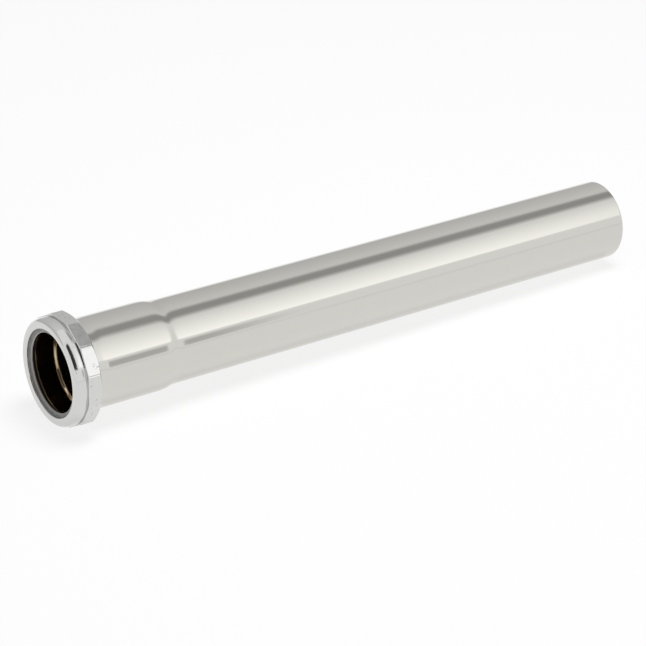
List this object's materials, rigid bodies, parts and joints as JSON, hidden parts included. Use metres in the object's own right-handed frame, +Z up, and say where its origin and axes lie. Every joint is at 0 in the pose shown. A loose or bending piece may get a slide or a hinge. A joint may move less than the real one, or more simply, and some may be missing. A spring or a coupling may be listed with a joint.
{
  "type": "drain extension tube",
  "caption": "Straight metal drain tube with a belled slip-joint socket, a twelve-sided screwed nut and its sealing ring at one end, and a plain end at the other.",
  "frame": {"origin": "centre of the tube's mouth, in the plane of the rim that the sealing ring seats on", "axes": "+X along the tube's axis from the socket to the plain end, +Z up with one flat of the nut facing down, +Y across"},
  "size_m": [0.3091, 0.0494, 0.0494],
  "materials": {
    "tube_metal": "chrome-plated and polished lengthwise outside, bare brass inside",
    "nut_metal": "bright chrome over a cast surface with small pits",
    "ring_rubber": "matt moulded"
  },
  "bodies": {
    "tube": {"extension_tube": "tube_metal"},
    "ring": {"slip_washer": "ring_rubber"},
    "nut": {"slip_nut": "nut_metal"}
  },
  "joints": [
    {"name": "ring_travel", "type": "slide", "parent": "tube", "child": "ring", "axis": [-1, 0, 0], "range_m": [0, 0.00885]},
    {"name": "nut_unscrew", "type": "hinge", "parent": "ring", "child": "nut", "pos_m": [0, 0, 0], "axis": [-1, 0, 0], "range_deg": [0, 1440]}
  ],
  "couplings": [
    {"joint": "ring_travel", "follows": "nut_unscrew", "m_per_rad": 0.00035152}
  ]
}
